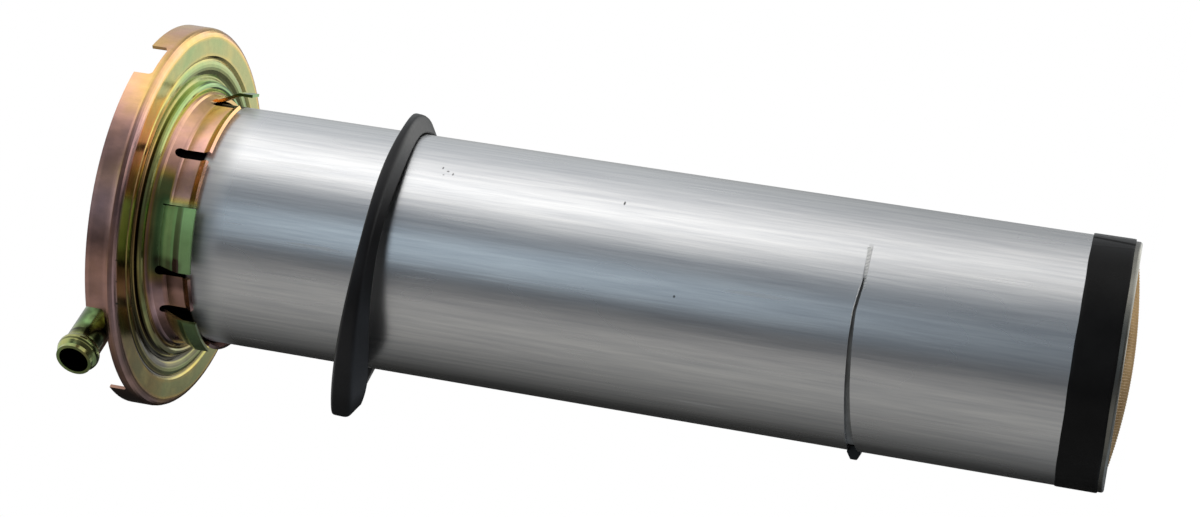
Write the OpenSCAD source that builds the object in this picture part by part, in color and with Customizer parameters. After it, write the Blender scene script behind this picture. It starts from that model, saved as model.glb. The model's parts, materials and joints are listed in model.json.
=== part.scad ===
// Fuel tank sending unit with a guard tube, a twist lock flange and a fuel take-off.
// The origin is the centre of the flange's seat plane. The tube hangs down along -Z.

/* [Guard tube] */
// Outer diameter of the aluminium tube
tube_d = 54; // [50:0.5:58]
// Wall of the tube
tube_wall = 1; // [0.8:0.1:1.4]
// Depth of the tube's lower end under the seat plane
tube_depth = 209.8; // [150:0.2:280]
// Height of the saw slit above the tube's lower end
slit_up = 52.4; // [30:0.2:70]
// Width of the saw slit at its far end; it opens towards the tab
slit_w = 0.5; // [0.4:0.1:0.8]
// Direction of the tab at the slit's wide end
slit_az = -178; // [-180:1:-176]
// How far the bent tab stands proud
slit_tab = 1.9; // [1:0.1:2]
// Width of the bent tab along the tube
slit_tab_w = 3; // [2.4:0.1:3.4]

/* [Flange cap] */
// Outer diameter of the pressed cap
cap_d = 87.6; // [84:0.2:96]
// Sheet of the cap
cap_sheet = 0.8; // [0.6:0.1:1]
// Height of the skirt's rim above the seat plane
skirt_h = 6.5; // [6:0.1:9]
// Outside radius of the corner between face and skirt
cap_corner = 1.9; // [1.2:0.1:2.6]
// Outer diameter of the recess that takes the gasket
seat_d = 74; // [72:0.2:78]
// Depth of the gasket's recess
seat_depth = 0.5; // [0.3:0.1:0.8]
// Mean diameter of the groove round the collar's foot
groove_d = 65.4; // [65.2:0.2:67]
// Depth of the groove round the collar's foot
groove_depth = 0.4; // [0.3:0.1:0.7]
// Height of the soft ridge between the groove and the raised annulus
ridge_h = 0.35; // [0.2:0.05:0.4]

/* [Notches in the skirt] */
// Height of the skirt that a notch leaves
notch_left = 2.4; // [2.2:0.1:3.4]
// Radius in a notch's inner corners
notch_round = 0.9; // [0.4:0.1:1.4]
// Width of a spanner notch
key_notch_w = 10.2; // [8:0.2:14]
// Width of the notch that lets the hose pipe out
pipe_notch_w = 26.8; // [24:0.2:30]

/* [Neck collar] */
// Sheet of the slotted collar
collar_sheet = 0.8; // [0.6:0.1:1]
// Play between the collar and the tube
collar_play = 0.1; // [0.05:0.05:0.2]
// Depth of the fingers' lips under the seat plane
finger_depth = 11; // [10:0.1:14]
// How far a finger's lip flares out
lip_flare = 0.9; // [0.5:0.1:1.4]
// Depth of the raised lugs under the seat plane
lug_depth = 11.9; // [11:0.1:15]
// How far a lug stands outside the tube
lug_proud = 3.5; // [3:0.1:5]
// Width of the slots between the fingers
slot_w = 2.2; // [1.4:0.1:2.6]
// Depth at which the slots end
slot_top = 2.9; // [2.7:0.1:4]
// Depth at which the collar's cone meets its straight wall
cone_depth = 4.8; // [4.4:0.1:5.2]
// Radius of the bead round the collar's foot
bead_r = 1.05; // [0.8:0.05:1.2]

/* [Gasket ring] */
// How much wider the ring's bore is than the tube
gasket_over = 8.6; // [8:0.2:10]
// Radial thickness of the ring
gasket_thick = 3.9; // [3.2:0.1:6]
// Width of the ring at its bore
gasket_in_w = 5.8; // [5:0.1:8]
// Width of the ring at its outside
gasket_out_w = 3.8; // [2.6:0.1:4.6]
// Depth of the ring's middle under the seat plane
gasket_depth = 47; // [36:0.5:70]
// Tilt of the loose ring
gasket_tilt = 10.8; // [0:0.2:13]
// Direction of the tilt
gasket_tilt_az = -71; // [-80:0.5:-40]
// Smallest gap between the ring and the tube
gasket_gap = 0.2; // [0.1:0.05:0.5]

/* [Hose pipe] */
// Outer diameter of the pipe
pipe_d = 8; // [7.4:0.1:8.4]
// Wall of the pipe
pipe_wall = 0.7; // [0.5:0.1:1]
// Direction of the hose pipe
pipe_az = -130.5; // [-134:0.5:-127]
// Distance of the pipe's mouth from the tube's axis
pipe_reach = 52.4; // [49:0.2:60]
// Diameter of the bead that holds the hose
hose_bead_d = 9.4; // [8.8:0.1:9.6]
// Width of the hose bead
hose_bead_w = 3.4; // [2.4:0.1:3.6]
// Length of the lip in front of the bead
hose_lip = 0.9; // [0.5:0.1:1.5]
// Radius of the elbow on the pipe's centre line
elbow_r = 6; // [5:0.1:7]
// Gap between the pipe's leg and the tube's wall
pipe_wall_gap = 1.5; // [1:0.1:2.2]

/* [Strainer] */
// Width of the tape that holds the strainer
tape_w = 9.9; // [8:0.1:14]
// Thickness of the tape
tape_t = 0.2; // [0.15:0.05:0.4]
// How far the tape covers the strainer's rim
tape_over = 0.6; // [0.3:0.1:1]
// Height of the strainer's rim below the tube
rim_h = 1.5; // [1.2:0.1:2]
// Width of the rim's face
rim_face = 2.2; // [1.8:0.1:3]
// Length of the spigot inside the tube
spigot_l = 4; // [3:0.1:5]
// Rise of the wire mesh dome
dome_rise = 2.6; // [1.5:0.1:5]
// Thickness of the mesh
mesh_t = 0.5; // [0.3:0.1:0.8]

/* [Terminals] */
// Distance from a rivet's head to the end of the terminal block
block_edge = 0.6; // [0.4:0.1:2]
// Width of the terminal block
block_w = 14; // [13:0.5:15]
// Height of the block's foot
block_h = 3; // [2:0.1:4]
// Height of the tower above the foot
tower_h = 2.6; // [2:0.1:4]
// Width of a blade
blade_w = 6.3; // [4.8:0.1:6.8]
// Thickness of a blade
blade_t = 0.8; // [0.6:0.1:1]
// Height of a blade above the tower
blade_h = 8.2; // [7:0.1:10]
// Distance between two blades
blade_pitch = 8.6; // [8.2:0.1:9]
// Diameter of the terminal studs
stud_d = 2.6; // [2:0.1:3]
// Thickness of the rubber seal under the block
seal_t = 0.8; // [0.5:0.1:1.2]

/* [Measuring system] */
// Diameter of the guide rod
rod_d = 4; // [3.4:0.1:4.6]
// Running clearance between rod and bush
rod_clear = 0.08; // [0.05:0.01:0.1]
// Thickness of the insulating plates
plate_t = 2; // [1.5:0.1:2.5]
// Depth of the upper plate's top under the seat plane
plate_depth = 6; // [5:0.1:8]
// Gap between the plates and the tube
plate_gap = 0.2; // [0.1:0.05:0.3]
// Height of the lower plate's underside above the tube's end
plate_up = 7.8; // [7:0.1:10]
// Diameter of the float
float_d = 30.6; // [27:0.2:31]
// Height of the float
float_h = 30; // [22:0.5:40]
// Gap between the float's parts and their stops
stop_gap = 0.3; // [0.2:0.05:0.5]
// Distance of the resistance wires from the axis
wire_off = 18.6; // [18:0.1:20]
// Diameter of a resistance wire
wire_d = 0.5; // [0.4:0.05:0.6]
// Thickness of the rubber stops
bumper_t = 3; // [2:0.1:4]

/* [Hidden] */
$fn = 96;

cut = 1;
tube_r = tube_d / 2;
tube_bore_r = tube_r - tube_wall;
cap_r = cap_d / 2;
cap_top = seat_depth + cap_sheet;
slit_z = slit_up - tube_depth;
tab_sweep = 7;
tab_drop = 0.4;
slit_marks = [[10.1, 0.6, 0], [2.6, 1.5, 0.15], [-3.2, 1.4, 0.4], [-12.5, 0.9, 0.6], [-19.9, 0.3, 0.85],
    [-24.3, -0.1, 1.3], [-27.5, -tab_drop, 1.7]];
notch_reach = 4;
key_notch_az = [-41, 90];
pipe_notch_az = -138.5;

collar_r = tube_r + collar_play;
collar_mid_r = collar_r + collar_sheet / 2;
cone_top_r = collar_mid_r + 1.1;
foot_r = collar_r + 4.8;
foot_in_r = collar_r + 2.5;
bead_mid_r = foot_r - bead_r - 0.1;
window_top = 3.4;
lug_shear = 0.6;
window_arcs = [[-114.5, -85.6], [-163.5, -138.6], [-22, 71], [119, 146]];
lug_arcs = [[-114.5, -85.6], [-163.5, -138.6], [-14, -5], [43, 71], [119, 146]];
slot_az = [-60.7, -116, -137.5, -165, 85, 118, 160];

gasket_r = tube_r + gasket_over / 2;
gasket_loss = gasket_in_w / 2 * sin(gasket_tilt);
gasket_drop = min([for (a = [-80:5:80])
    (gasket_r * (1 - (1 - cos(gasket_tilt)) * pow(cos(a - gasket_tilt_az), 2))
        - gasket_loss * abs(cos(a - gasket_tilt_az)) - tube_r - gasket_gap) / cos(a)]);

pipe_r = pipe_d / 2;
pipe_bore_r = pipe_r - pipe_wall;
pipe_z = notch_left + pipe_r;
leg_r = tube_bore_r - pipe_wall_gap - pipe_r;
leg_end = plate_up - 3.4 - tube_depth;
ferrule_r = pipe_r + 2;
ferrule_h = 1;
hose_bead_r = hose_bead_d / 2;
bead_rise = hose_bead_r - pipe_r;
bead_curve_r = (pow(hose_bead_w / 2, 2) + pow(bead_rise, 2)) / (2 * bead_rise);
bead_half = asin(hose_bead_w / 2 / bead_curve_r);

tape_z = -tube_depth - tape_over;
rim_out_r = tube_r - 0.1;
rim_in_r = rim_out_r - rim_face;
rim_z = -tube_depth - rim_h;
spigot_r = tube_bore_r - 0.1;
spigot_in_r = spigot_r - 0.8;
mesh_play = 0.05;
mesh_low = rim_z + 0.5;
mesh_top = mesh_low + mesh_t;
mesh_r = spigot_r - 0.1;
dome_base_r = rim_in_r - 0.3;
dome_sphere_r = (pow(dome_base_r, 2) + pow(dome_rise, 2)) / (2 * dome_rise);

block_shift = -6;
block_z = cap_top + seal_t;
tower_l = 2 * blade_pitch + blade_w + 0.6;
tower_w = 8.4;
tower_z = block_z + block_h;
blade_z = tower_z + tower_h;
blade_off = [-blade_pitch, 0, blade_pitch];
block_rivet_d = 2.6;
block_head_d = block_rivet_d + 1.8;
block_rivet_off = tower_l / 2 + block_head_d / 2 + 0.3;
block_l = 2 * block_rivet_off + block_head_d + 2 * block_edge;

post_off = 18;
post_d = 5;
post_az = [pipe_az + 40, pipe_az + 180, pipe_az - 40];
rivet_head_d = 6.6;
rivet_head_h = 1.3;

upper_z = -plate_depth;
lower_z = plate_up - tube_depth;
plate_r = tube_bore_r - plate_gap;
wire_az = [pipe_az - 90, pipe_az + 90];
wire_hole_r = wire_d / 2 + 0.2;
nut_r = 3.9;
nut_h = 2.6;
anchor_r = 1.7;
anchor_h = 2.2;
bumper_r = 5.5;
bush_r = 3.4;
contact_l = plate_r - bumper_r - 9.3;
contact_w = 3;
contact_t = 0.4;
float_bottom = lower_z + plate_t + bumper_t + stop_gap;
float_top = float_bottom + float_h;
bridge_t = 0.6;
bridge_w = 7;
clip_h = 1.6;
clip_r = 4.6;

zinc = [0.68, 0.60, 0.36];
brass = [0.78, 0.62, 0.30];
insulation = [0.45, 0.24, 0.12];

function unit(v) = v / norm(v);

function arc(middle, r, from, to, steps) =
    [for (i = [0:steps]) middle + r * [cos(from + (to - from) * i / steps), sin(from + (to - from) * i / steps)]];

// Points of a round corner of radius r at the vertex b of the path a, b, c
function corner(a, b, c, r, steps) =
    let (u = unit(a - b), v = unit(c - b), half = acos(u * v) / 2)
    let (middle = b + unit(u + v) * r / sin(half))
    let (p = b + u * r / tan(half) - middle, q = b + v * r / tan(half) - middle)
    let (from = atan2(p.y, p.x), swing = atan2(q.y, q.x) - from)
    let (turn = swing > 180 ? swing - 360 : swing < -180 ? swing + 360 : swing)
    [for (i = [0:steps]) middle + r * [cos(from + turn * i / steps), sin(from + turn * i / steps)]];

function rounded_path(path, r, steps = 4) =
    concat([path[0]],
        [for (i = [1:len(path) - 2]) each corner(path[i - 1], path[i], path[i + 1], r, steps)],
        [path[len(path) - 1]]);

function left_of(v) = [-v.y, v.x];

function path_normal(path, i) =
    let (last = len(path) - 1)
    let (a = i == 0 ? undef : left_of(unit(path[i] - path[i - 1])))
    let (b = i == last ? undef : left_of(unit(path[i + 1] - path[i])))
    i == 0 ? b : i == last ? a : (a + b) / (1 + a * b);

// Outline of a sheet of thickness t whose middle follows the path
function sheet_outline(path, t) =
    concat([for (i = [0:len(path) - 1]) path[i] + path_normal(path, i) * t / 2],
        [for (i = [len(path) - 1:-1:0]) path[i] - path_normal(path, i) * t / 2]);

module around(az, distance) {
    rotate([0, 0, az]) translate([distance, 0, 0]) children();
}

module ring(outer_r, inner_r, low, high) {
    difference() {
        translate([0, 0, low]) cylinder(r = outer_r, h = high - low);
        translate([0, 0, low - cut]) cylinder(r = inner_r, h = high - low + 2 * cut);
    }
}

// A plate with round ends at its corners, centred on the origin
module round_plate(length, width, r) {
    square([length - 2 * r, width], center = true);
    square([length, width - 2 * r], center = true);
    for (x = [r - length / 2, length / 2 - r], y = [r - width / 2, width / 2 - r])
        translate([x, y]) circle(r = r);
}

// Where the cap carries the block and its studs, in line across the hose pipe
module block_place() {
    rotate([0, 0, pipe_az]) translate([block_shift, 0, 0]) rotate([0, 0, 90]) children();
}

function cap_path() =
    let (half = cap_sheet / 2, face = cap_sheet / 2, seat = seat_depth + cap_sheet / 2)
    let (groove = seat + groove_depth, seat_r = seat_d / 2, mid = groove_d / 2)
    let (ridge_r = (mid + 0.9 + seat_r) / 2, crest = seat - ridge_h)
    concat([[0, seat], [mid - 0.7, seat], [mid - 0.3, groove], [mid + 0.3, groove], [mid + 0.8, seat],
            [ridge_r - 0.9, crest + 0.09], [ridge_r - 0.3, crest], [ridge_r + 0.3, crest], [ridge_r + 0.9, crest + 0.09],
            [seat_r - 0.3, seat], [seat_r + 0.2, seat - 0.1], [seat_r + 0.7, face]],
        corner([0, face], [cap_r - half, face], [cap_r - half, skirt_h], cap_corner - half, 6),
        [[cap_r - half, skirt_h]]);

// Opening cut down from the skirt's rim, with round inner corners
module skirt_notch(az, width) {
    tall = skirt_h - notch_left + cut;
    around(az, cap_r - notch_reach) translate([0, 0, notch_left]) rotate([90, 0, 90])
        linear_extrude(2 * notch_reach) {
            translate([-width / 2, notch_round]) square([width, tall]);
            translate([notch_round - width / 2, 0]) square([width - 2 * notch_round, tall]);
            for (side = [-1, 1])
                translate([side * (width / 2 - notch_round), notch_round]) circle(r = notch_round, $fn = 32);
        }
}

module flange_cap() {
    color(zinc) difference() {
        rotate_extrude($fn = 180) polygon(sheet_outline(cap_path(), cap_sheet));
        for (az = key_notch_az) skirt_notch(az, key_notch_w);
        skirt_notch(pipe_notch_az, pipe_notch_w);
        around(pipe_az, leg_r) translate([0, 0, -cut]) cylinder(r = pipe_r + 0.2, h = cap_top + 2 * cut);
        for (az = post_az)
            around(az, post_off) translate([0, 0, -cut]) cylinder(d = post_d - 2, h = cap_top + 2 * cut);
        block_place() translate([0, 0, -cut]) {
            for (x = blade_off) translate([x, 0, 0]) cylinder(d = stud_d + 1.6, h = cap_top + 2 * cut);
            for (side = [-1, 1])
                translate([side * block_rivet_off, 0, 0]) cylinder(d = block_rivet_d + 0.2, h = cap_top + 2 * cut);
        }
    }
}

// Middle of the collar's sheet, from the cone's top down to a finger's lip
function finger_path() =
    let (top = [cone_top_r, -2], wall = [collar_mid_r, 0.2 - cone_depth])
    let (bend = [collar_mid_r, 1.7 - finger_depth], lip = [collar_mid_r + lip_flare, 0.2 - finger_depth])
    concat([top], corner(top, wall, bend, 3, 3), corner(wall, bend, lip, 0.9, 3), [lip]);

function lug_path() =
    let (out = tube_r + lug_proud - collar_sheet / 2, slope = (cone_top_r - collar_mid_r) / (cone_depth - 2.2))
    rounded_path([[cone_top_r - 0.6 * slope, -2.6], [cone_top_r - 1.8 * slope, -3.8], [out, 3.1 - lug_depth],
        [out, -lug_depth]], 0.6, 3);

function collar_outline() = concat(
    [[foot_in_r, seat_depth], [foot_r, seat_depth], [foot_r, -0.1]],
    arc([bead_mid_r, -0.1], bead_r, 0, -150, 6),
    [[bead_mid_r - bead_r - 0.1, -1.3], [bead_mid_r - bead_r - 0.35, -1.75]],
    sheet_outline(finger_path(), collar_sheet),
    [[foot_in_r - 0.6, -0.4]]);

module sector(arc_az, outline) {
    rotate([0, 0, arc_az[0]]) rotate_extrude(angle = arc_az[1] - arc_az[0], $fn = 180) polygon(outline);
}

// Slot between two fingers, round at its closed end
module collar_slot(az) {
    long = lug_depth + cut - slot_top;
    around(az, collar_r - cut) rotate([90, 0, 90]) linear_extrude(lug_proud + 2 * cut) {
        translate([0, -slot_top - slot_w / 2]) circle(d = slot_w, $fn = 32);
        translate([-slot_w / 2, -slot_top - slot_w / 2 - long]) square([slot_w, long]);
    }
}

// Opening in the collar's wall, where a lug stands or nothing is left
module collar_window(arc_az) {
    sector(arc_az, [[collar_r - cut, -window_top], [foot_r + lug_proud, -window_top],
        [foot_r + lug_proud, -lug_depth - cut], [collar_r - cut, -lug_depth - cut]]);
}

module neck_collar() {
    color(zinc) difference() {
        union() {
            difference() {
                rotate_extrude($fn = 180) polygon(collar_outline());
                for (a = window_arcs) collar_window(a);
            }
            for (a = lug_arcs)
                sector([a[0] + lug_shear, a[1] - lug_shear], sheet_outline(lug_path(), collar_sheet - 0.1));
        }
        for (az = slot_az) collar_slot(az);
    }
}

// One edge of the slit seen from the side: along the tube's width, then its height
function slit_edge(side) = [for (m = slit_marks) [m[0], slit_z + m[1] + side * (slit_w + m[2]) / 2]];

module saw_slit() {
    far_edge = slit_edge(-1);
    last = len(far_edge) - 1;
    translate([0, tube_r * sin(slit_az), 0]) rotate([90, 0, 0]) linear_extrude(tube_r)
        polygon(concat(slit_edge(1), [for (i = [0:last]) far_edge[last - i]]));
}

module slit_tab_piece() {
    low = slit_z - tab_drop - slit_tab_w / 2;
    high = low + slit_tab_w;
    inner = tube_r - tube_wall / 2;
    sector([slit_az - tab_sweep, slit_az - 0.6],
        [[inner, low], [tube_r + 0.4, low], [tube_r + slit_tab, low + 0.7], [tube_r + slit_tab, high - 1],
        [tube_r + 0.4, high], [inner, high]]);
}

module guard_tube() {
    color([0.78, 0.79, 0.80]) {
        difference() {
            ring(tube_r, tube_bore_r, -tube_depth, seat_depth);
            saw_slit();
        }
        slit_tab_piece();
    }
}

module tape_band() {
    color([0.07, 0.07, 0.07]) {
        ring(tube_r + tape_t, tube_r, tape_z, tape_z + tape_w);
        rotate([0, 0, 6]) rotate_extrude(angle = 28, $fn = 180)
            translate([tube_r + tape_t, tape_z + 0.3]) square([tape_t, tape_w - 0.3]);
    }
}

module strainer_rim() {
    color([0.80, 0.80, 0.80]) rotate_extrude()
        polygon(concat([[spigot_in_r, spigot_l - tube_depth], [spigot_in_r, mesh_top + mesh_play],
                [mesh_r + mesh_play, mesh_top + mesh_play], [mesh_r + mesh_play, mesh_low - mesh_play],
                [rim_in_r, mesh_low - mesh_play], [rim_in_r, rim_z]],
            arc([rim_out_r - 0.6, rim_z + 0.6], 0.6, -90, 0, 4),
            [[rim_out_r, -tube_depth], [spigot_r, -tube_depth], [spigot_r, spigot_l - tube_depth]]));
}

module strainer_dome() {
    half = asin(dome_base_r / dome_sphere_r);
    middle = [0, mesh_low - dome_rise + dome_sphere_r];
    color(brass) rotate_extrude($fn = 120) polygon(concat(
        arc(middle, dome_sphere_r, -90, -90 + half, 14), [[mesh_r, mesh_low], [mesh_r, mesh_top]],
        arc(middle, dome_sphere_r - mesh_t, -90 + half, -90, 14)));
}

module gasket_ring() {
    out_r = gasket_r + gasket_thick;
    top = gasket_in_w / 2;
    ridge = top - gasket_out_w;
    color([0.08, 0.08, 0.08]) translate([-gasket_drop, 0, -gasket_depth])
        rotate([0, 0, gasket_tilt_az]) rotate([0, gasket_tilt, 0]) rotate_extrude($fn = 180)
            polygon([[gasket_r, 0.4 - top], [gasket_r + 0.4, -top], [out_r - 0.5, ridge - 0.2],
                [out_r - 0.1, ridge + 0.2], [out_r, ridge + 0.7], [out_r, top - 1], [out_r - 0.25, top - 0.35],
                [out_r - 0.8, top], [gasket_r + 0.4, top], [gasket_r, top - 0.4]]);
}

// The hose pipe's outside or bore of radius r, from its foot in the tube to its mouth
module pipe_run(r, low, far) {
    translate([0, 0, low]) cylinder(r = r, h = pipe_z - elbow_r - low);
    translate([elbow_r, 0, pipe_z - elbow_r]) rotate([90, 0, 0]) rotate([0, 0, 90])
        rotate_extrude(angle = 90) translate([elbow_r, 0]) circle(r = r, $fn = 48);
    translate([elbow_r, 0, pipe_z]) rotate([0, 90, 0]) cylinder(r = r, h = far - elbow_r);
}

module hose_pipe() {
    reach = pipe_reach - leg_r;
    color(zinc) around(pipe_az, leg_r) difference() {
        union() {
            pipe_run(pipe_r, leg_end, reach);
            translate([reach, 0, pipe_z]) rotate([0, -90, 0]) rotate_extrude(convexity = 4)
                polygon(concat([[0, hose_lip]],
                    arc([hose_bead_r - bead_curve_r, hose_lip + hose_bead_w / 2], bead_curve_r, -bead_half, bead_half, 8),
                    [[0, hose_lip + hose_bead_w]]));
        }
        pipe_run(pipe_bore_r, leg_end - cut, reach + cut);
    }
}

module pipe_ferrule() {
    color(zinc) around(pipe_az, leg_r) difference() {
        rotate_extrude() polygon([[0, cap_top], [ferrule_r, cap_top], [ferrule_r - 0.3, cap_top + ferrule_h * 0.4],
            [pipe_r + 0.8, cap_top + ferrule_h], [0, cap_top + ferrule_h]]);
        pipe_run(pipe_r + 0.1, -cut, elbow_r + cut);
    }
}

module terminal_seal() {
    color([0.12, 0.12, 0.12]) block_place() difference() {
        translate([0, 0, cap_top]) linear_extrude(seal_t) round_plate(block_l - 0.8, block_w - 0.8, 3);
        translate([0, 0, cap_top - cut]) {
            for (x = blade_off) translate([x, 0, 0]) cylinder(d = stud_d + 0.2, h = seal_t + 2 * cut);
            for (side = [-1, 1])
                translate([side * block_rivet_off, 0, 0]) cylinder(d = block_rivet_d + 0.2, h = seal_t + 2 * cut);
        }
    }
}

module terminal_block() {
    color([0.10, 0.10, 0.10]) block_place() difference() {
        union() {
            translate([0, 0, block_z]) linear_extrude(block_h) round_plate(block_l, block_w, 3.2);
            translate([0, 0, tower_z]) linear_extrude(tower_h) round_plate(tower_l, tower_w, 1.2);
        }
        translate([0, 0, block_z - cut]) {
            for (x = blade_off) translate([x, 0, 0]) cylinder(d = stud_d + 0.1, h = block_h + tower_h + 2 * cut);
            for (side = [-1, 1])
                translate([side * block_rivet_off, 0, 0]) cylinder(d = block_rivet_d + 0.2, h = block_h + 2 * cut);
        }
    }
}

module terminal_blades() {
    tip = 1.4;
    foot = 0.8;
    color(brass) block_place() for (x = blade_off) translate([x, 0, blade_z]) {
        difference() {
            translate([0, blade_t / 2, 0]) rotate([90, 0, 0]) linear_extrude(blade_t)
                polygon([[-blade_w / 2, 0], [blade_w / 2, 0], [blade_w / 2, blade_h - tip], [blade_w / 2 - tip, blade_h],
                    [tip - blade_w / 2, blade_h], [-blade_w / 2, blade_h - tip]]);
            translate([0, blade_t, blade_h - 3]) rotate([90, 0, 0]) cylinder(d = 1.6, h = 2 * blade_t, $fn = 24);
        }
        translate([-blade_w / 2, -tower_w / 2 + 0.8, 0]) cube([blade_w, tower_w / 2 - 0.8, foot]);
    }
}

module terminal_studs() {
    color(brass) block_place() for (x = blade_off)
        translate([x, 0, upper_z]) cylinder(d = stud_d, h = blade_z - upper_z);
}

module block_rivets() {
    color([0.75, 0.75, 0.75]) block_place() for (side = [-1, 1]) translate([side * block_rivet_off, 0, 0]) {
        translate([0, 0, seat_depth]) cylinder(d = block_rivet_d, h = tower_z - seat_depth);
        translate([0, 0, tower_z]) cylinder(d1 = block_head_d, d2 = block_head_d - 1.6, h = 0.9);
        translate([0, 0, seat_depth - 0.7]) cylinder(d1 = block_head_d - 1.4, d2 = block_head_d, h = 0.7);
    }
}

module spacer_posts() {
    color([0.72, 0.72, 0.70]) for (az = post_az) around(az, post_off)
        translate([0, 0, upper_z]) cylinder(d = post_d, h = seat_depth - upper_z);
}

module post_rivets() {
    color([0.75, 0.75, 0.75]) for (az = post_az) around(az, post_off) {
        translate([0, 0, seat_depth]) cylinder(d = post_d - 2.2, h = cap_sheet);
        translate([0, 0, cap_top]) rotate_extrude()
            polygon(concat([[0, 0], [rivet_head_d / 2, 0], [rivet_head_d / 2, 0.4]],
                [[rivet_head_d / 2 - 0.7, rivet_head_h - 0.3], [rivet_head_d / 2 - 1.6, rivet_head_h], [0, rivet_head_h]]));
    }
}

module insulating_plate(z, with_drain) {
    color(insulation) difference() {
        translate([0, 0, z]) cylinder(r = plate_r, h = plate_t);
        translate([0, 0, z - cut]) {
            cylinder(d = rod_d + 0.1, h = plate_t + 2 * cut);
            around(pipe_az, leg_r) cylinder(r = pipe_r + 0.15, h = plate_t + 2 * cut);
            for (az = wire_az) around(az, wire_off) cylinder(r = wire_hole_r, h = plate_t + 2 * cut, $fn = 24);
            if (with_drain)
                for (az = [pipe_az + 45, pipe_az + 135, pipe_az + 225, pipe_az + 315])
                    around(az, plate_r * 0.62) cylinder(d = 6, h = plate_t + 2 * cut);
        }
    }
}

module upper_plate() {
    insulating_plate(upper_z - plate_t, false);
}

module lower_plate() {
    insulating_plate(lower_z, true);
}

module guide_rod() {
    color([0.80, 0.80, 0.82]) translate([0, 0, lower_z - nut_h - 0.8])
        cylinder(d = rod_d, h = upper_z + nut_h + 0.8 - (lower_z - nut_h - 0.8));
}

module rod_nuts() {
    color([0.75, 0.72, 0.60]) for (z = [upper_z, lower_z - nut_h]) translate([0, 0, z]) difference() {
        cylinder(r = nut_r, h = nut_h, $fn = 6);
        translate([0, 0, -cut]) cylinder(d = rod_d + 0.04, h = nut_h + 2 * cut);
    }
}

module resistance_wires() {
    color([0.70, 0.68, 0.62]) for (az = wire_az) around(az, wire_off)
        translate([0, 0, lower_z - anchor_h + 0.4])
            cylinder(d = wire_d, h = upper_z + anchor_h - 0.4 - (lower_z - anchor_h + 0.4), $fn = 24);
}

module wire_anchors() {
    color(brass) for (az = wire_az) around(az, wire_off) for (z = [upper_z, lower_z - anchor_h])
        translate([0, 0, z]) difference() {
            cylinder(r = anchor_r, h = anchor_h, $fn = 32);
            translate([0, 0, -cut]) cylinder(d = wire_d + 0.06, h = anchor_h + 2 * cut, $fn = 24);
        }
}

module stop_bumpers() {
    color([0.15, 0.15, 0.15]) for (z = [upper_z - plate_t - bumper_t, lower_z + plate_t])
        ring(bumper_r, rod_d / 2 + 0.1, z, z + bumper_t);
}

module warning_contact() {
    lift = bumper_t - 0.9;
    tip_r = bumper_r + 2;
    bend_r = tip_r + contact_l * 0.36;
    foot_at = tip_r + contact_l * 0.64;
    end_r = tip_r + contact_l;
    color(brass) for (side = [-1, 1])
        rotate([0, 0, pipe_az + 180 + side * 22]) translate([0, contact_w / 2, lower_z + plate_t])
            rotate([90, 0, 0]) linear_extrude(contact_w)
                polygon([[tip_r, lift], [bend_r, lift], [foot_at, contact_t], [end_r, contact_t], [end_r, 0],
                    [foot_at - contact_t / 2, 0], [bend_r - contact_t / 2, lift - contact_t],
                    [tip_r, lift - contact_t]]);
}

module float_bush() {
    color([0.85, 0.83, 0.76]) ring(bush_r, rod_d / 2 + rod_clear, float_bottom, float_top + bridge_t + clip_h);
}

module float() {
    edge = 1.2;
    color([0.20, 0.17, 0.14]) rotate_extrude()
        polygon([[bush_r + 0.05, float_bottom], [float_d / 2 - edge, float_bottom], [float_d / 2, float_bottom + edge],
            [float_d / 2, float_top - edge], [float_d / 2 - edge, float_top], [bush_r + 0.05, float_top]]);
}

// Brass strip whose forked ends run along the two resistance wires
module contact_bridge() {
    fork_w = wire_d + 0.6;
    fork_r = wire_off - fork_w / 2;
    reach = wire_off + 2.2;
    color(brass) rotate([0, 0, pipe_az + 90]) translate([0, 0, float_top]) difference() {
        linear_extrude(bridge_t) round_plate(2 * reach, bridge_w, 2);
        translate([0, 0, -cut]) {
            cylinder(r = bush_r + 0.05, h = bridge_t + 2 * cut);
            for (az = [0, 180]) rotate([0, 0, az]) translate([fork_r, -fork_w / 2, 0])
                cube([reach + cut - fork_r, fork_w, bridge_t + 2 * cut]);
        }
    }
}

module bridge_clip() {
    color([0.75, 0.75, 0.78]) ring(clip_r, bush_r + 0.05, float_top + bridge_t, float_top + bridge_t + clip_h / 2);
}

flange_cap();
neck_collar();
guard_tube();
tape_band();
strainer_rim();
strainer_dome();
gasket_ring();
hose_pipe();
pipe_ferrule();
terminal_block();
terminal_seal();
terminal_blades();
terminal_studs();
block_rivets();
spacer_posts();
post_rivets();
upper_plate();
lower_plate();
guide_rod();
rod_nuts();
resistance_wires();
wire_anchors();
stop_bumpers();
warning_contact();
float();
float_bush();
contact_bridge();
bridge_clip();
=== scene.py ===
import json
import math

import bmesh
import bpy
from mathutils import Matrix, Vector


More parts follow.
